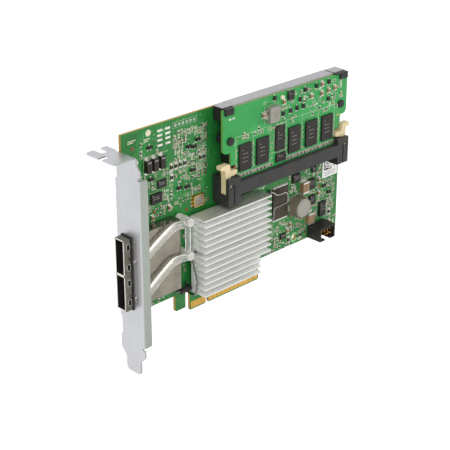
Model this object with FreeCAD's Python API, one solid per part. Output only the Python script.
import FreeCAD, Part
import math
import os

# Storage controller card. Origin: centre of the key notch, on the contact edge, on the
# component face of the board. +X runs away from the bracket, +Z up, the parts face -Y.

# Board
board_thick = 1.57
board_length = 161.0
board_left = -55.95
card_height = 111.15
edge_height = 12.7
board_corner_cut = 4.0
key_width = 1.9
key_depth = 8.25
short_block = 11.65
long_block = 38.65
block_corner = 1.0
plug_bevel = 0.45
plug_rise = 0.9
hook_gap = 3.2
hook_width = 7.3
hook_rise = 3.2
hook_slot_top = 11.9
hook_round = 0.6
tooling_hole = 3.2
tooling_hole_x = 68.7
tooling_hole_z = 16.9

# Edge contacts
contact_pitch = 1.0
contact_width = 0.7
contact_low = 0.2
contact_tall = 4.9
plating = 0.06

# Bracket
sheet = 0.86
bracket_face_x = -57.15
bracket_width = 18.42
bracket_back = 3.72
bracket_top = 103.2
bracket_height = 120.02
shoulder_z = 89.0
shoulder_step = 1.15
relief = 1.5
fold_cut = 0.2
lower_step_low = 2.6
lower_step_high = 13.4
tongue_near = 3.7
tongue_far = 3.7
tongue_shoulder = -5.3
tongue_neck = -9.2
lip_depth = 4.9
fold_round = 1.1
lip_round = 0.8
lip_low = 0.3
lip_high = 91.6
top_corner = 2.6
tab_depth = 12.6
tab_width = 21.59
tab_near = 3.4
screw_notch = 4.42
screw_notch_depth = 6.4
screw_notch_out = 5.2
slot_notch = 3.0
slot_notch_depth = 5.0
slot_notch_near = 8.6
notch_round = 1.6
slot_round = 1.1
tab_round = 1.8
top_step = 3.6
top_slant = 3.2
shoulder_slant = 4.2
tongue_round = 2.2
fold_ear_round = 1.2
ear_notch = 0.8
ear_neck_out = 3.0
ear_neck_in = 1.4
ear_length = 9.6
ear_height = 9.4
ear_bottom = 90.8
lower_ear_top = 20.9
ear_screw_in = 6.0
screw_dia = 3.0
screw_clear = 0.2
screw_head = 5.4
screw_head_tall = 1.7
nut_flats = 5.5
nut_tall = 2.2
nut_sides = 6
screw_end = 0.6
recess_long = 3.0
recess_thin = 0.8
recess_deep = 0.8
hidden_sides = 12

# Ports
cage_left_out = 5.1
cage_right = -25.0
cage_low = 20.7
cage_tall = 39.2
cage_gap = 0.25
cage_deep = 6.9
cage_wall = 0.7
divider = 1.3
port_depth = 22.0
side_hole_wide = 1.7
side_hole_tall = 3.0
side_hole_out = 2.7
side_hole_shares = (0.2, 0.8)
tongue_root = 3.0
tongue_play = 0.05
port_contact_in = 0.8
window_clear = 0.35
seal_wide = 0.45
seal_thick = 0.8
tongue_thick = 1.5
tongue_wide = 13.2
tongue_long = 13.0
port_contacts = 13
port_contact_pitch = 0.8
port_contact_wide = 0.45
port_contact_long = 7.0

# Light pipe
pipe_x = -20.6
pipe_upper_z = 57.6
pipe_lower_z = 38.6
pipe_r = 2.6
pipe_arm = 3.9
pipe_deep = 3.2
pipe_bar_left = 2.0
pipe_bar_right = 1.4
pipe_cap = 0.3
pipe_fit = 0.1
pipe_gap = 0.3
pipe_window = 2.4
pipe_upper_exit = 47.6
pipe_lower_exit = 27.0
pipe_bend_x = -31.5
pipe_end_run = 6.0
light_wide = 1.7
light_tall = 0.8

# Controller chip and heatsink
chip_x = 11.5
chip_z = 35.2
chip_size = 35.0
chip_base = 1.3
chip_lid = 27.0
chip_lid_tall = 0.9
pad_thick = 0.2
pad_size = 26.0
sink_left = -13.5
sink_length = 49.5
sink_low = 12.95
sink_fins = 13
fin_pitch = 3.59
fin_thick = 0.95
fin_tall = 8.3
sink_base = 2.4
short_fins = 3
short_cut = 7.6
wire_fin = 7

# Spring wire
wire_dia = 1.2
wire_bend = 1.5
wire_sides = 8
wire_seat = 0.1
wire_left_out = 2.4
wire_right_out = 9.3
wire_bow = 4.4
wire_under = 1.2
loop_rise = 7.2
loop_tall = 5.8
loop_out = 12.4
loop_back = 6.1
hook_in = 4.4
loop_lean = 0.45
loop_sink = 2.8
wire_drop = 1.0
wire_free_end = 2.6
wire_bow_rise = 5.4
anchor_out = 0.8
anchor_dia = 1.0
anchor_clear = 0.15
anchor_spread = 1.05
upper_anchor_wide = 3.0
lower_anchor_wide = 9.2
sleeve_z = 16.5
sleeve_dia = 3.2
sleeve_wall_gap = 0.45

# Memory socket
socket_x = 51.3
socket_overhang = 4.9
socket_front = 12.5
socket_back_gap = 0.6
bar_low = 63.8
bar_high = 71.0
tower_low = 59.1
tower_high = 74.3
tower_wide = 8.8
slot_floor = 65.5
slot_clear = 0.2
slot_play = 0.3
latch_room = 4.2
latch_clear = 0.3
sill = 1.2
foot_wall = 0.8
groove_deep = 0.5
groove_in = 1.5
groove_wide = 0.8
tail_pitch = 3.6
tail_rows = 2
tails_per_row = 21
tail_wide = 0.35
tail_row_gap = 2.4
tail_out = 1.0
tail_up = 1.2

# Ejector latches
pivot_in = 2.4
pivot_z = 70.0
pivot_r = 1.0
pivot_fit = 0.07
pivot_reach = 1.4
latch_arm = 1.6
latch_foot = 2.1
latch_foot_tall = 1.3
latch_shank = 3.4
latch_neck_z = 73.9
latch_top = 81.6
thumb_reach = 3.0
thumb_thick = 2.4
hook_reach = 5.9
hook_low = 75.3
hook_thick = 2.4
hook_root = 0.6
hook_slope = 2.2
latch_waist = 2.2
latch_shoulder = 0.8
latch_edge = 0.35
latch_lower_edge = 1.0
outer_wall = 0.6

# Cache memory board
cache_width = 84.6
cache_thick = 1.27
cache_mid = 8.37
cache_rise = 0.05
ear_wide = 5.8
ear_low = 87.2
ear_round = 2.8
cache_hole = 3.4
cache_hole_in = 5.2
cache_hole_z = 93.6
notch_low = 73.9
notch_high = 79.8
notch_deep = 4.6
cache_corner = 0.6
cache_chip_thick = 1.1
dram_wide = 8.9
dram_tall = 14.6
dram_up = 0.37
dram_shares = (-0.384, -0.2295, 0.0605, 0.221, 0.3725)
register_off = -6.1
register_up = 0.449
register_wide = 6.6
register_share = 0.304
spd_off = -5.4
spd_wide = 7.4
spd_tall = 4.6

# Battery and holder
holder_left_in = 1.1
holder_low = 80.4
holder_inset = 5.4
holder_rise = 1.05
holder_side_low = 7.6
holder_skin = 0.7
holder_play = 0.15
holder_back = 1.0
holder_wall = 1.6
lip_wide = 5.8
lip_drop = 3.0
lip_thick = 1.1
lip_play = 0.2
holder_under = 0.4
peg_deep = 2.6
peg_sink = 0.05
battery_gap = 0.25
battery_right_in = 9.6
peg_clear = 0.3
peg_head = 4.4
peg_head_tall = 0.9
peg_boss = 4.8

# Signal header
header_left = 80.3
header_wide = 12.7
header_low = 12.9
header_tall = 8.2
header_deep = 10.0
header_wall = 0.9
header_floor = 2.4
header_slot_floor = 3.6
header_slot = 4.4
header_columns = 4
header_rows = 2
header_pitch = 2.54
header_pin = 0.64
header_pin_in = 1.4
header_pin_tail = 1.2

# Loose parts on the main board: centre x, centre z, width, height, thickness
flash_x = 55.9
flash_z = 42.4
flash_wide = 12.0
flash_tall = 18.4
flash_thick = 1.1
flash_lead = 0.8
flash_under = 0.1
flash_lead_thick = 0.3
flash_leads = 16
coil_x = 69.8
coil_z = 36.6
coil_size = 11.6
coil_thick = 6.0
coil_foot = 0.6
coil_sides = 8
oscillator = (-6.4, 62.9, 7.2, 6.2, 1.5)
label = (97.9, 52.9, 12.8, 12.8, 0.12)
tantalums = ((-40.2, 91.0), (-35.7, 91.0), (-31.1, 91.2))
tantalum_size = (2.9, 6.4, 2.6)
large_caps = ((75.3, 46.4), (80.6, 25.6))
large_cap_size = (5.0, 6.6, 2.8)
small_chips = (
    (68.6, 53.6, 5.8, 5.0, 1.4), (81.6, 46.6, 5.0, 6.0, 1.6), (82.7, 36.4, 4.4, 5.4, 1.4),
    (91.4, 28.2, 4.8, 8.8, 1.6), (83.5, 54.9, 3.4, 3.4, 1.2), (58.6, 21.0, 4.0, 3.2, 1.2),
    (-35.0, 72.4, 7.0, 5.2, 1.3), (-30.8, 79.2, 5.6, 4.2, 0.9))
transistors = (
    (-38.3, 100.4), (-37.9, 83.3), (-9.9, 80.6), (-6.1, 96.4), (-12.2, 94.0), (-8.7, 93.1),
    (-19.2, 73.4), (-13.9, 72.6), (92.6, 41.9), (97.4, 36.8))
transistor_size = (2.9, 1.4, 1.1)
small_caps = (
    (-37.4, 62.3), (-26.0, 64.5), (88.4, 46.8), (88.4, 38.6), (62.6, 23.0), (64.8, 26.2),
    (95.4, 17.6), (98.6, 17.6), (66.0, 60.2), (72.6, 60.2), (77.4, 34.0), (77.4, 37.4))
small_cap_size = (1.6, 2.6, 1.1)
resistors = (
    (-24.0, 86.0), (-21.0, 86.0), (-18.0, 86.0), (-15.0, 86.0), (-24.0, 80.5), (-4.0, 86.0),
    (-1.5, 86.0), (64.0, 17.0), (73.6, 17.0), (44.0, 20.0), (44.0, 24.0), (98.6, 24.0))
resistor_size = (1.6, 2.8, 0.55)

# Small parts on the cache board: x from its middle, then how far down as a share of its height
cache_coil = (-12.5, 0.218)
cache_coil_size = (7.4, 8.4, 3.0)
cache_power_chip = (1.7, 0.0683)
cache_power_size = (4.6, 5.0, 1.0)
cache_transistors = (
    (-10.5, 0.0419), (13.3, 0.0595), (22.3, 0.0573), (32.3, 0.0551), (32.3, 0.2687), (9.3, 0.1586),
    (12, 0.2555), (7, 0.2533), (2, 0.2599), (-3.7, 0.2665))
cache_small_size = (1.8, 2.2, 0.9)
cache_caps = (
    (-18.7, 0.207), (37.3, 0.1542), (26.7, 0.1718), (26.7, 0.0573), (18.3, 0.163), (-3.3, 0.1233),
    (32.3, 0.163))
cache_cap_size = (1.9, 2.6, 1.1)
seat = 0.05

# Worked-out places
board_right = board_left + board_length
board_back = board_thick
block_left = -key_width / 2 - short_block
block_right = key_width / 2 + long_block
inner_face_x = bracket_face_x + sheet
bracket_low = bracket_top - bracket_height
cage_left = bracket_face_x - cage_left_out
cage_high = cage_low + cage_tall
cage_front = -cage_gap - cage_deep
chip_front = -chip_base - chip_lid_tall
sink_back = chip_front - pad_thick
fin_root = sink_back - sink_base
fin_tip = fin_root - fin_tall
sink_right = sink_left + sink_length
sink_high = sink_low + (sink_fins - 1) * fin_pitch + fin_thick
cache_back = -cache_mid + cache_thick / 2
cache_front = cache_back - cache_thick
cache_left = socket_x - cache_width / 2
cache_right = socket_x + cache_width / 2
cache_low = slot_floor + slot_play
slot_sill = slot_floor - foot_wall / 2
cache_top = card_height + cache_rise
cache_tall = cache_top - cache_low
dram_z = cache_low + dram_up * cache_tall
register_z = cache_low + register_up * cache_tall
register_tall = register_share * cache_tall
spd_z = (bar_high + register_z - register_tall / 2) / 2
holder_top = card_height + holder_rise
holder_front = cache_back + holder_play
socket_left = cache_left - socket_overhang
socket_right = cache_right + socket_overhang
V = FreeCAD.Vector


def block(x0, x1, y0, y1, z0, z1):
    return Part.makeBox(x1 - x0, y1 - y0, z1 - z0, V(x0, y0, z0))


def rod(start, end, radius):
    run = end.sub(start)
    return Part.makeCylinder(radius, run.Length, start, run)


def joined(shapes):
    whole = shapes[0]
    if len(shapes) > 1:
        whole = whole.multiFuse(shapes[1:])
    return whole.removeSplitter()


def corner_points(before, here, after, radius):
    """Start, middle and end of the arc that rounds one corner of an outline."""
    back = before.sub(here).normalize()
    ahead = after.sub(here).normalize()
    half = back.getAngle(ahead) / 2
    reach = radius / math.tan(half)
    inward = back.add(ahead).normalize()
    middle = here.add(inward.multiply(radius / math.sin(half) - radius))
    return here.add(back.multiply(reach)), middle, here.add(ahead.multiply(reach))


def outline(points):
    """Closed wire through (point, corner radius) pairs."""
    count = len(points)
    stops = []
    for i, (here, radius) in enumerate(points):
        before = points[i - 1][0]
        after = points[(i + 1) % count][0]
        if radius > 0:
            stops.append(corner_points(before, here, after, radius))
        else:
            stops.append((here, None, here))
    edges = []
    for i, (start, middle, end) in enumerate(stops):
        if middle is not None:
            edges.append(Part.Arc(start, middle, end).toShape())
        following = stops[(i + 1) % count][0]
        if end.distanceToPoint(following) > 1e-6:
            edges.append(Part.LineSegment(end, following).toShape())
    return Part.Wire(edges)


def plate_xz(points, y0, y1):
    """Plate from (x, z) or (x, z, radius) points, between two depths."""
    pairs = [(V(p[0], y0, p[1]), p[2] if len(p) > 2 else 0) for p in points]
    return Part.Face(outline(pairs)).extrude(V(0, y1 - y0, 0))


def plate_yz(points, x0, x1):
    pairs = [(V(x0, p[0], p[1]), p[2] if len(p) > 2 else 0) for p in points]
    return Part.Face(outline(pairs)).extrude(V(x1 - x0, 0, 0))


def plate_xy(points, z0, z1):
    pairs = [(V(p[0], p[1], z0), p[2] if len(p) > 2 else 0) for p in points]
    return Part.Face(outline(pairs)).extrude(V(0, 0, z1 - z0))


def prism(x, z, radius, sides, y0, y1, turned=0.0):
    """Upright prism with its corners on a circle, along y."""
    points = []
    for i in range(sides):
        turn = 2 * math.pi * (i + turned) / sides
        points.append((x + radius * math.cos(turn), z + radius * math.sin(turn)))
    return plate_xz(points, y0, y1)


def on_board(place, size, surface=0.0):
    """Small block seated on a face that looks to -Y."""
    x, z = place[0], place[1]
    wide, tall, thick = size
    return block(x - wide / 2, x + wide / 2, surface - thick, surface, z - tall / 2, z + tall / 2)


def mirror_x(shape, x):
    return shape.mirror(V(x, 0, 0), V(1, 0, 0))


def bend_stops(points, bend):
    """Points of a wire route with every corner cut by two short runs."""
    stops = [points[0]]
    for i in range(1, len(points) - 1):
        stops += corner_points(points[i - 1], points[i], points[i + 1], bend)
    return stops + [points[-1]]


def along_to_plane(point, direction, centre, normal):
    """Where a line from a point meets the plane through a centre."""
    distance = centre.sub(point).dot(normal) / direction.dot(normal)
    return point.add(V(direction).multiply(distance))


def bent_wire(points, diameter, bend):
    """Eight-sided wire along a bent route, mitred where its runs meet."""
    stops = bend_stops(points, bend)
    ahead = stops[1].sub(stops[0]).normalize()
    side = ahead.cross(V(0.31, 0.22, 0.93)).normalize()
    across = ahead.cross(side)
    ring = []
    for i in range(wire_sides):
        turn = 2 * math.pi * (i + 0.5) / wire_sides
        arm = V(side).multiply(math.cos(turn)).add(V(across).multiply(math.sin(turn)))
        ring.append(stops[0].add(arm.multiply(diameter / 2)))
    faces = [Part.Face(Part.makePolygon(ring + ring[:1]))]
    for i in range(1, len(stops)):
        ahead = stops[i].sub(stops[i - 1]).normalize()
        normal = V(ahead)
        if i < len(stops) - 1:
            normal = ahead.add(stops[i + 1].sub(stops[i]).normalize()).normalize()
        following = [along_to_plane(point, ahead, stops[i], normal) for point in ring]
        for j in range(wire_sides):
            k = (j + 1) % wire_sides
            side = [ring[j], ring[k], following[k], following[j], ring[j]]
            faces.append(Part.Face(Part.makePolygon(side)))
        ring = following
    faces.append(Part.Face(Part.makePolygon(ring + ring[:1])))
    solid = Part.Solid(Part.Shell(faces))
    if solid.Volume < 0:
        solid.reverse()
    return solid


# Board with its plug edge
def ear_places():
    low = lower_ear_top - ear_height / 2
    high = ear_bottom + ear_height / 2
    return [(inner_face_x + ear_screw_in, low), (inner_face_x + ear_screw_in, high)]


def main_board():
    hook_right = block_left - hook_gap
    hook_left = hook_right - hook_width
    key = key_width / 2
    points = [
        (board_left, edge_height), (hook_left, edge_height, hook_round),
        (hook_left, hook_rise, block_corner), (hook_right, hook_rise),
        (hook_right, hook_slot_top), (block_left, hook_slot_top),
        (block_left, 0, block_corner), (-key, 0, block_corner),
        (-key, key_depth), (key, key_depth),
        (key, 0, block_corner), (block_right, 0, block_corner),
        (block_right, edge_height), (board_right, edge_height),
        (board_right, card_height - board_corner_cut), (board_right - board_corner_cut, card_height),
        (board_left, card_height)]
    board = plate_xz(points, 0, board_thick)
    holes = [rod(V(tooling_hole_x, -1, tooling_hole_z), V(tooling_hole_x, board_thick + 1, tooling_hole_z),
                 tooling_hole / 2)]
    for x, z in ear_places():
        holes.append(rod(V(x, -1, z), V(x, board_thick + 1, z), screw_dia / 2 + screw_clear))
    for y, outward in ((0, -1), (board_thick, 1)):
        under = y - outward * plug_bevel
        points = [(y + outward, -1), (under, -1), (under, 0), (y, plug_rise), (y + outward, plug_rise)]
        holes.append(plate_yz(points, block_left - 1, block_right + 1))
    return board.cut(holes)


def contact_places():
    """Left edge of every contact on the short and the long block."""
    key = key_width / 2
    margin = (contact_pitch - contact_width) / 2
    short = int(short_block / contact_pitch)
    long = int(long_block / contact_pitch)
    places = [-key - margin - contact_width - i * contact_pitch for i in range(short)]
    return places + [key + margin + i * contact_pitch for i in range(long)]


def edge_contacts():
    low = contact_low + plug_rise
    high = contact_low + contact_tall
    pads = []
    for x in contact_places():
        pads.append(block(x, x + contact_width, -plating, 0, low, high))
        pads.append(block(x, x + contact_width, board_thick, board_thick + plating, low, high))
    return Part.makeCompound(pads)


# Folded bracket
def bracket_tab():
    """Slotted tab at the top, seen from above, before it is joined to the face."""
    near = bracket_back - bracket_width + tab_near
    far = near + tab_width
    out = bracket_face_x - tab_depth
    notch_mid = bracket_face_x - screw_notch_out
    slot_low = near + slot_notch_near
    slot_high = slot_low + slot_notch
    points = [
        (inner_face_x, near), (inner_face_x, far),
        (notch_mid + screw_notch / 2, far),
        (notch_mid + screw_notch / 2, far - screw_notch_depth, notch_round),
        (notch_mid - screw_notch / 2, far - screw_notch_depth, notch_round),
        (notch_mid - screw_notch / 2, far),
        (out, far, tab_round), (out, slot_high),
        (out + slot_notch_depth, slot_high, slot_round), (out + slot_notch_depth, slot_low, slot_round),
        (out, slot_low), (out, near, slot_round)]
    return plate_xy(points, bracket_top - sheet, bracket_top)


def bracket_face():
    near = bracket_back - bracket_width
    step = bracket_back - shoulder_step
    tongue_y0 = bracket_back - tongue_far
    tongue_y1 = near + tongue_near
    points = [
        (near + top_corner, bracket_top), (near + top_corner, bracket_top - top_step),
        (near, bracket_top - top_step - top_slant), (near, tongue_shoulder + shoulder_slant),
        (near, tongue_shoulder), (tongue_y1, tongue_neck),
        (tongue_y1, bracket_low, tongue_round), (tongue_y0, bracket_low, tongue_round),
        (tongue_y0, tongue_neck), (bracket_back, tongue_shoulder),
        (bracket_back, lower_step_low), (step, lower_step_low),
        (step, lower_step_high), (bracket_back, lower_step_high),
        (bracket_back, shoulder_z), (step, shoulder_z), (step, bracket_top)]
    return plate_yz(points, bracket_face_x, inner_face_x)


def bracket_ears():
    """Ears that lie on the solder side, folded from the stepped edge."""
    low_y, high_y = board_back, board_back + sheet
    right = inner_face_x + ear_length
    upper = plate_xz([(bracket_face_x, ear_bottom), (right, ear_bottom, fold_ear_round),
                      (right, ear_bottom + ear_height, fold_ear_round),
                      (bracket_face_x, ear_bottom + ear_height)], low_y, high_y)
    foot = lower_step_low + ear_notch
    head = lower_step_high - ear_notch
    lower = plate_xz([(bracket_face_x, foot), (inner_face_x + ear_neck_out, foot),
                      (right, lower_ear_top - ear_height, fold_ear_round),
                      (right, lower_ear_top, fold_ear_round),
                      (inner_face_x + ear_neck_in, lower_ear_top), (inner_face_x + ear_neck_in, head),
                      (bracket_face_x, head)], low_y, high_y)
    return [upper, lower]


def bracket_lip():
    """Stiffening lip folded back along the component side."""
    near = bracket_back - bracket_width
    edge = bracket_face_x + lip_depth
    return plate_xz([(bracket_face_x, lip_low), (edge, lip_low, lip_round),
                     (edge, lip_high, lip_round), (bracket_face_x, lip_high)], near, near + sheet)


def fold_rounds():
    """What is taken off the outside of the fold to the lip and of the fold to the tab."""
    near = bracket_back - bracket_width
    lip_x, lip_y = bracket_face_x + fold_round, near + fold_round
    lip_corner = block(bracket_face_x - 1, lip_x, near - 1, lip_y, lip_low - 1, lip_high)
    lip_core = rod(V(lip_x, lip_y, lip_low - 1), V(lip_x, lip_y, lip_high), fold_round)
    tab_x, tab_z = inner_face_x - fold_round, bracket_top - fold_round
    tab_corner = block(tab_x, inner_face_x + 1, near, bracket_back, tab_z, bracket_top + 1)
    tab_core = rod(V(tab_x, near, tab_z), V(tab_x, bracket_back, tab_z), fold_round)
    return [lip_corner.cut(lip_core), tab_corner.cut(tab_core)]


def exit_points():
    """Centres of the two light windows, in y and z."""
    y = cage_front - pipe_gap - pipe_deep / 2
    return [(y, pipe_lower_exit), (y, pipe_upper_exit)]


def bracket():
    near = bracket_back - bracket_width
    body = joined([bracket_face(), bracket_tab(), bracket_lip()] + bracket_ears())
    tools = fold_rounds()
    tools.append(block(bracket_face_x - 1, inner_face_x + fold_cut, cage_front - window_clear,
                       -cage_gap + window_clear, cage_low - window_clear, cage_high + window_clear))
    tools.append(block(bracket_face_x - 1, inner_face_x + fold_cut, near - 1, near + relief,
                       lip_high, lip_high + relief))
    tools.append(block(bracket_face_x - 1, inner_face_x + fold_cut, near - 1, near + relief,
                       lip_low - relief, lip_low))
    for y, z in exit_points():
        tools.append(rod(V(bracket_face_x - 1, y, z), V(inner_face_x + 1, y, z), pipe_window / 2))
    for x, z in ear_places():
        tools.append(rod(V(x, board_back - 1, z), V(x, board_back + sheet + 1, z),
                         screw_dia / 2 + screw_clear))
    return body.cut(tools)


def bracket_screws():
    screws = []
    long, thin = recess_long / 2, recess_thin / 2
    for x, z in ear_places():
        under = board_back + sheet
        top = under + screw_head_tall
        head = rod(V(x, under, z), V(x, top, z), screw_head / 2)
        shank = prism(x, z, screw_dia / 2, hidden_sides, -nut_tall - screw_end, under)
        recess = block(x - thin, x + thin, top - recess_deep, top + 1, z - long, z + long)
        across = block(x - long, x + long, top - recess_deep, top + 1, z - thin, z + thin)
        screws.append(joined([head, shank]).cut([recess, across]))
    return Part.makeCompound(screws)


def bracket_nuts():
    nuts = []
    reach = nut_flats / 2 / math.cos(math.pi / nut_sides)
    for x, z in ear_places():
        nut = prism(x, z, reach, nut_sides, -nut_tall, 0)
        nuts.append(nut.cut(prism(x, z, screw_dia / 2, hidden_sides, -nut_tall - 1, 1)))
    return Part.makeCompound(nuts)


# External ports
def port_heights():
    """Lower and upper height of the inside of each port."""
    clear = (cage_tall - 2 * cage_wall - divider) / 2
    low = cage_low + cage_wall
    return [(low, low + clear), (low + clear + divider, cage_high - cage_wall)]


def port_cage():
    front, back = cage_front, -cage_gap
    body = block(cage_left, cage_right, front, back, cage_low, cage_high)
    tools = []
    for low, high in port_heights():
        tools.append(block(cage_left - 1, cage_left + port_depth, front + cage_wall, back - cage_wall,
                           low, high))
        for share in side_hole_shares:
            z = low + share * (high - low) - side_hole_tall / 2
            x = cage_left + side_hole_out
            tools.append(block(x - side_hole_wide / 2, x + side_hole_wide / 2, front - 1,
                               front + cage_wall + cage_gap, z, z + side_hole_tall))
    return body.cut(tools)


def cage_middle():
    return (cage_front - cage_gap) / 2


def port_tongues():
    tongues = []
    right = cage_left + port_depth
    for low, high in port_heights():
        mid = (low + high) / 2
        shelf = block(right - tongue_long, right, cage_middle() - tongue_thick / 2,
                      cage_middle() + tongue_thick / 2, mid - tongue_wide / 2, mid + tongue_wide / 2)
        root = block(right - tongue_root, right, cage_front + cage_wall + tongue_play,
                     -cage_gap - cage_wall - tongue_play, low + tongue_play, high - tongue_play)
        tongues.append(joined([shelf, root]))
    return Part.makeCompound(tongues)


def port_contact_pads():
    pads = []
    left = cage_left + port_depth - tongue_long + port_contact_in
    for low, high in port_heights():
        mid = (low + high) / 2
        for i in range(port_contacts):
            z = mid + (i - (port_contacts - 1) / 2) * port_contact_pitch
            for side in (-1, 1):
                y = cage_middle() + side * tongue_thick / 2
                y0, y1 = sorted((y, y + side * plating))
                pads.append(block(left, left + port_contact_long, y0, y1,
                                  z - port_contact_wide / 2, z + port_contact_wide / 2))
    return Part.makeCompound(pads)


def port_seal():
    outer = block(bracket_face_x - seal_thick, bracket_face_x, cage_front - seal_wide, -cage_gap + seal_wide,
                  cage_low - seal_wide, cage_high + seal_wide)
    inner = block(bracket_face_x - seal_thick - 1, bracket_face_x + 1, cage_front, -cage_gap,
                  cage_low, cage_high)
    return outer.cut(inner)


# Light pipe over the cage and the lights below it
def light_pipe():
    front = cage_front - pipe_gap - pipe_deep
    back = cage_front - pipe_gap
    pieces = []
    ends = inner_face_x
    for high, exit_z in ((pipe_upper_z, pipe_upper_exit), (pipe_lower_z, pipe_lower_exit)):
        column = rod(V(pipe_x, -light_tall - pipe_cap, high), V(pipe_x, front - pipe_cap, high), pipe_r)
        half = pipe_arm / 2
        arm = plate_xz([
            (pipe_x, high - half), (pipe_x, high + half),
            (pipe_bend_x, high + half), (ends + pipe_end_run, exit_z + half), (ends, exit_z + half),
            (ends, exit_z - half), (ends + pipe_end_run, exit_z - half), (pipe_bend_x, high - half)],
            front, back)
        middle = (front + back) / 2
        nose = rod(V(ends, middle, exit_z), V(bracket_face_x + pipe_fit, middle, exit_z),
                   pipe_window / 2 - pipe_fit)
        pieces += [column, arm, nose]
    pieces.append(block(pipe_x - pipe_bar_left, pipe_x + pipe_bar_right, front, back,
                        pipe_lower_z, pipe_upper_z))
    return joined(pieces)


def indicator_lights():
    size = (light_wide, light_wide, light_tall)
    return Part.makeCompound([on_board((pipe_x, z), size) for z in (pipe_lower_z, pipe_upper_z)])


# Controller chip, pad, heatsink
def processor_chip():
    half, lid = chip_size / 2, chip_lid / 2
    base = block(chip_x - half, chip_x + half, -chip_base, -seat, chip_z - half, chip_z + half)
    top = block(chip_x - lid, chip_x + lid, chip_front, -chip_base, chip_z - lid, chip_z + lid)
    return joined([base, top])


def thermal_pad():
    half = pad_size / 2
    return block(chip_x - half, chip_x + half, sink_back, chip_front, chip_z - half, chip_z + half)


def channel_z():
    """Height of the middle of the gap that the spring wire lies in."""
    return sink_low + wire_fin * fin_pitch - (fin_pitch - fin_thick) / 2


def heatsink():
    points = [(sink_back, sink_low), (sink_back, sink_high), (fin_tip, sink_high)]
    for i in range(sink_fins - 1, -1, -1):
        low = sink_low + i * fin_pitch
        points.append((fin_tip, low))
        if i > 0:
            points.append((fin_root, low))
            points.append((fin_root, low - fin_pitch + fin_thick))
            points.append((fin_tip, low - fin_pitch + fin_thick))
    body = plate_yz(points, sink_left, sink_right)
    top_of_short = sink_low + short_fins * fin_pitch - (fin_pitch - fin_thick) / 2
    step = block(sink_right - short_cut, sink_right + 1, fin_tip - 1, fin_root, sink_low - 1, top_of_short)
    return body.cut(step)


def lower_hook():
    """Hook round the sleeved lower anchor, from its free end to the bow of the leg."""
    x = sink_left - wire_left_out
    behind = -wire_under
    below = sleeve_z - sleeve_dia / 2 - wire_dia / 2 - wire_drop
    return [V(x, behind, sleeve_z + wire_free_end), V(x, behind, below),
            V(x, -sleeve_depth() - wire_bow, below), V(x, channel_y() - wire_bow, sleeve_z + wire_bow_rise)]


def channel_y():
    return fin_root - wire_seat - wire_dia / 2


def sleeve_depth():
    return wire_under + wire_dia / 2 + sleeve_dia / 2 + anchor_clear


def clip_route():
    """Lower hook, leg along the sink's end, run through the channel, loop to the upper anchor."""
    y, z = channel_y(), channel_z()
    left = sink_left - wire_left_out
    right = sink_right + wire_right_out
    rise = z + loop_rise
    top = rise + loop_tall
    return lower_hook() + [
        V(left, y, z), V(right, y, z), V(right, y - loop_lean, rise), V(right + loop_out, y + loop_lean, rise),
        V(right + loop_out, y + 3 * loop_lean, top), V(right + loop_back, y + loop_sink, top - 2 * loop_lean),
        V(right + loop_back - loop_sink, -wire_under, top + 3 * loop_lean),
        V(right + loop_back - loop_sink - hook_in, -wire_under, top + 4 * loop_lean)]


def clip_wire():
    return bent_wire(clip_route(), wire_dia, wire_bend)


def staple(first, second, rise):
    """Wire staple soldered through the board at two points."""
    through = board_back + anchor_out
    points = [V(first[0], through, first[1]), V(first[0], -rise, first[1]),
              V(second[0], -rise, second[1]), V(second[0], through, second[1])]
    return bent_wire(points, anchor_dia, anchor_dia)


def lower_anchor_legs():
    right = sink_left - anchor_dia / 2 - sleeve_wall_gap
    return [(right - lower_anchor_wide, sleeve_z), (right, sleeve_z)]


def upper_anchor_legs():
    last, before = clip_route()[-1], clip_route()[-2]
    middle = before.add(last).multiply(0.5)
    half = upper_anchor_wide / 2
    return [(middle.x, middle.z - half), (middle.x, middle.z + half)]


def clip_anchors():
    upper_rise = wire_under + wire_dia / 2 + anchor_clear + anchor_dia / 2
    return Part.makeCompound([staple(*lower_anchor_legs(), sleeve_depth()),
                              staple(*upper_anchor_legs(), upper_rise)])


def clip_sleeve():
    """Black tube on the bridge of the lower anchor."""
    (left, z), (right, _) = lower_anchor_legs()
    y = -sleeve_depth()
    ends = anchor_dia * anchor_spread
    outer = rod(V(left + ends, y, z), V(right - ends, y, z), sleeve_dia / 2)
    return outer.cut(rod(V(left, y, z), V(right, y, z), anchor_dia / 2))


def socket_tower():
    return block(socket_left, socket_left + tower_wide, -socket_front, -socket_back_gap,
                 tower_low, tower_high)


def socket_housing():
    back = -socket_back_gap
    bar = block(socket_left + 2, socket_right - 2, -socket_front, back, bar_low, bar_high)
    left_tower = socket_tower()
    body = joined([bar, left_tower, mirror_x(left_tower, socket_x)])
    room_front = -cache_mid - latch_room / 2
    room_back = -cache_mid + latch_room / 2
    pivot_x = socket_left + pivot_in
    inner = cache_left - latch_clear
    tools = []
    tools.append(block(socket_left - 1, inner, room_front, room_back, slot_sill, tower_high + 1))
    tools.append(block(socket_left + outer_wall, socket_left + tower_wide - foot_wall, room_front, room_back,
                       tower_low + sill, slot_sill))
    pin_end = room_back + pivot_reach + slot_clear
    tools.append(rod(V(pivot_x, pin_end, pivot_z), V(pivot_x, -socket_front - 1, pivot_z),
                     pivot_r + pivot_fit))
    groove = pivot_x + groove_in
    tools.append(block(groove, groove + groove_wide, -socket_front - 1, -socket_front + groove_deep,
                       tower_low - 1, pivot_z + groove_deep))
    tools += [mirror_x(tool, socket_x) for tool in tools]
    gap = slot_clear
    tools.append(block(cache_left - gap, cache_right + gap, cache_front - gap, cache_back + gap,
                       slot_floor, tower_high + 1))
    return body.cut(tools)


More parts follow.
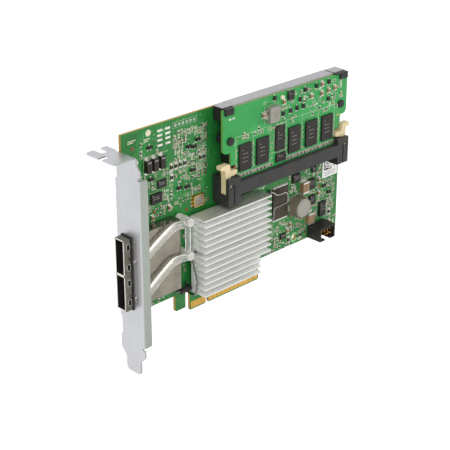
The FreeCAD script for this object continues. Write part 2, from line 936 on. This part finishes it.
def tail_list():
    tails = []
    span = (tails_per_row - 1) * tail_pitch
    half = tail_wide / 2
    for row in range(tail_rows):
        z = bar_low + tail_up + row * tail_row_gap
        for i in range(tails_per_row):
            x = socket_x - span / 2 + i * tail_pitch + (row - 0.5) * tail_pitch / 2
            tails.append(block(x - half, x + half, -socket_back_gap, board_back + tail_out,
                               z - half, z + half))
    return tails


# Ejector latch
def latch_left():
    thick = latch_room - 2 * latch_clear
    back = -cache_mid + thick / 2
    front = back - thick
    x = socket_left + pivot_in
    arm_left = socket_left + latch_edge
    arm_right = arm_left + latch_arm
    low = tower_low + sill + 2 * latch_clear
    shank_right = arm_left + latch_shank
    lower_left = socket_left + latch_lower_edge
    tip = x + hook_reach
    thumb = socket_left - thumb_reach
    points = [
        (lower_left, low), (arm_right + latch_foot, low),
        (arm_right + latch_foot, low + latch_foot_tall), (arm_right, low + latch_foot_tall),
        (arm_right, pivot_z - latch_waist), (shank_right, pivot_z - latch_shoulder),
        (shank_right, hook_low - hook_root), (tip - hook_slope, hook_low - hook_root),
        (tip, hook_low), (tip, hook_low + hook_thick, latch_shoulder), (shank_right, hook_low + hook_thick),
        (shank_right - hook_root, latch_top, hook_root), (thumb, latch_top, hook_root),
        (thumb, latch_top - thumb_thick, hook_root), (arm_left - hook_root, latch_top - thumb_thick),
        (arm_left, latch_neck_z), (arm_left, slot_sill + latch_clear), (lower_left, slot_sill + latch_clear)]
    body = plate_xz(points, front, back)
    trunnion = rod(V(x, back + pivot_reach, pivot_z), V(x, front - pivot_reach, pivot_z), pivot_r)
    return joined([body, trunnion])


def latch_right():
    return mirror_x(latch_left(), socket_x)


# Cache memory board
def side_points():
    """Left edge of the cache board from the bottom up, with notch, ear and corner."""
    left = cache_left
    ear = left - ear_wide
    return [
        (left + cache_corner, cache_low), (left, cache_low + cache_corner), (left, notch_low),
        (left + notch_deep, notch_low, cache_corner), (left + notch_deep, notch_high, cache_corner),
        (left, notch_high),
        (left, ear_low), (ear, ear_low, ear_round), (ear, cache_top)]


def cache_hole_places():
    ear = cache_left - ear_wide
    return [(ear + cache_hole_in, cache_hole_z), (2 * socket_x - ear - cache_hole_in, cache_hole_z)]


def cache_board():
    left = side_points()
    right = [(2 * socket_x - p[0],) + p[1:] for p in reversed(left)]
    board = plate_xz(left + right, cache_front, cache_back)
    holes = [rod(V(x, cache_front - 1, z), V(x, cache_back + 1, z), cache_hole / 2)
             for x, z in cache_hole_places()]
    return board.cut(holes)


def on_cache(place, size):
    """Boxed part on the cache board."""
    return on_board((socket_x + place[0], cache_top - place[1] * cache_tall), size, cache_front)


def memory_chips():
    size = (dram_wide, dram_tall, cache_chip_thick)
    places = [(socket_x + share * cache_width, dram_z) for share in dram_shares]
    return Part.makeCompound([on_board(place, size, cache_front) for place in places])


def register_chip():
    size = (register_wide, register_tall, cache_chip_thick)
    return on_board((socket_x + register_off, register_z), size, cache_front)


def id_chip():
    return on_board((socket_x + spd_off, spd_z), (spd_wide, spd_tall, cache_chip_thick), cache_front)


def cache_group(places, size):
    return Part.makeCompound([on_cache(place, size) for place in places])


def group(places, size):
    return Part.makeCompound([on_board(place, size) for place in places])


# Battery behind the cache board, in its holder
def holder_x():
    left = cache_left - ear_wide + holder_left_in
    return left, 2 * socket_x - left


def battery_holder():
    """Tray behind the cache board, with a clip over each of its upper corners."""
    left, right = holder_x()
    front, back, high = holder_front, -holder_back, holder_top - holder_under
    wall = left + holder_inset
    body = block(wall, 2 * socket_x - wall, front, back, holder_low, high)
    pocket = block(wall + holder_wall, right - battery_right_in, front - 1, back - holder_skin,
                   holder_low + holder_wall, holder_top + 1)
    parts = [body.cut(pocket)]
    parts += [rod(V(x, front, z), V(x, back, z), peg_boss / 2) for x, z in cache_hole_places()]
    lip_front = cache_front - lip_play - lip_thick
    for start, end in ((left, left + lip_wide), (right - battery_right_in, right)):
        parts.append(block(start, end, front, back, holder_top - holder_side_low, high))
        parts.append(block(start, end, lip_front, front, cache_top + holder_play, high))
    for start in (left, right - lip_wide):
        parts.append(block(start, start + lip_wide, lip_front, lip_front + lip_thick,
                           cache_top - lip_drop, high))
    holes = [prism(x, z, cache_hole / 2 - peg_clear, hidden_sides, front - 1, front + peg_deep)
             for x, z in cache_hole_places()]
    return joined(parts).cut(holes)


def battery_pack():
    left, right = holder_x()
    start = left + holder_inset + holder_wall + battery_gap
    return block(start, right - battery_right_in - battery_gap, holder_front,
                 -holder_back - holder_skin - battery_gap, holder_low + holder_wall + battery_gap, holder_top)


def holder_pegs():
    pegs = []
    under = cache_front - peg_sink
    for x, z in cache_hole_places():
        shank = prism(x, z, cache_hole / 2 - peg_clear, hidden_sides, under - peg_sink,
                      holder_front + peg_deep)
        head = rod(V(x, under, z), V(x, under - peg_head_tall, z), peg_head / 2)
        pegs.append(joined([shank, head]))
    return Part.makeCompound(pegs)


# Parts that stand on the main board
def flash_chip():
    body = on_board((flash_x, flash_z), (flash_wide, flash_tall, flash_thick - flash_under), -flash_under)
    pitch = flash_wide / (flash_leads + 1)
    leads = []
    for side in (-1, 1):
        start = flash_z + side * flash_tall / 2
        z0, z1 = sorted((start - side * flash_under, start + side * flash_lead))
        for i in range(flash_leads):
            x = flash_x - flash_wide / 2 + pitch * (i + 1)
            leads.append(block(x - pitch / 4, x + pitch / 4, -flash_lead_thick, 0, z0, z1))
    return joined([body] + leads)


def power_inductor():
    """Eight-sided coil can on a square foot."""
    base = on_board((coil_x, coil_z), (coil_size, coil_size, coil_foot))
    reach = coil_size / 2 / math.cos(math.pi / coil_sides)
    return joined([base, prism(coil_x, coil_z, reach, coil_sides, -coil_thick, -coil_foot, turned=0.5)])


def signal_header():
    right = header_left + header_wide
    high = header_low + header_tall
    body = block(header_left, right, -header_deep, 0, header_low, high)
    wall = header_wall
    mouth = block(header_left + wall, right - wall, -header_deep - 1, -header_floor,
                  header_low + wall, high - wall)
    middle = (header_left + right) / 2
    slot = block(middle - header_slot / 2, middle + header_slot / 2, -header_deep - 1, -header_slot_floor,
                 header_low - 1, header_low + 1.5 * wall)
    return body.cut([mouth, slot] + header_pin_list())


def header_pin_list():
    pins = []
    half = header_pin / 2
    middle_x = header_left + header_wide / 2
    middle_z = header_low + header_tall / 2
    for row in range(header_rows):
        z = middle_z + (row - (header_rows - 1) / 2) * header_pitch
        for column in range(header_columns):
            x = middle_x + (column - (header_columns - 1) / 2) * header_pitch
            pins.append(block(x - half, x + half, -header_deep + header_pin_in, board_back + header_pin_tail,
                              z - half, z + half))
    return pins


def board_holes():
    holes = tail_list() + header_pin_list()
    return holes + clip_anchors().Solids


def boxed(values):
    return on_board(values[:2], values[2:])


nodes = {
    "main_board": main_board().cut(board_holes()),
    "edge_contacts": edge_contacts(),
    "bracket": bracket(),
    "bracket_screws": bracket_screws(),
    "bracket_nuts": bracket_nuts(),
    "port_cage": port_cage(),
    "port_tongues": port_tongues(),
    "port_contacts": port_contact_pads(),
    "port_seal": port_seal(),
    "light_pipe": light_pipe(),
    "indicator_lights": indicator_lights(),
    "processor_chip": processor_chip(),
    "thermal_pad": thermal_pad(),
    "heatsink": heatsink(),
    "clip_wire": clip_wire(),
    "clip_anchors": clip_anchors(),
    "clip_sleeve": clip_sleeve(),
    "socket_housing": socket_housing(),
    "socket_tails": Part.makeCompound(tail_list()),
    "latch_left": latch_left(),
    "latch_right": latch_right(),
    "cache_board": cache_board(),
    "memory_chips": memory_chips(),
    "register_chip": register_chip(),
    "id_chip": id_chip(),
    "cache_inductor": on_cache(cache_coil, cache_coil_size),
    "cache_power_chip": on_cache(cache_power_chip, cache_power_size),
    "cache_transistors": cache_group(cache_transistors, cache_small_size),
    "cache_capacitors": cache_group(cache_caps, cache_cap_size),
    "battery_holder": battery_holder(),
    "battery_pack": battery_pack(),
    "holder_pegs": holder_pegs(),
    "flash_chip": flash_chip(),
    "power_inductor": power_inductor(),
    "large_capacitors": group(large_caps, large_cap_size),
    "tantalum_capacitors": group(tantalums, tantalum_size),
    "small_chips": Part.makeCompound([boxed(values) for values in small_chips]),
    "clock_oscillator": boxed(oscillator),
    "transistors": group(transistors, transistor_size),
    "chip_capacitors": group(small_caps, small_cap_size),
    "resistor_packs": group(resistors, resistor_size),
    "signal_header": signal_header(),
    "header_pins": Part.makeCompound(header_pin_list()),
    "board_label": boxed(label),
}

os.makedirs("parts", exist_ok=True)
for name, shape in nodes.items():
    if not shape.isValid():
        print("not valid:", name)
    shape.exportStep("parts/" + name + ".step")
    print(name, len(shape.Solids), round(shape.Volume, 2))
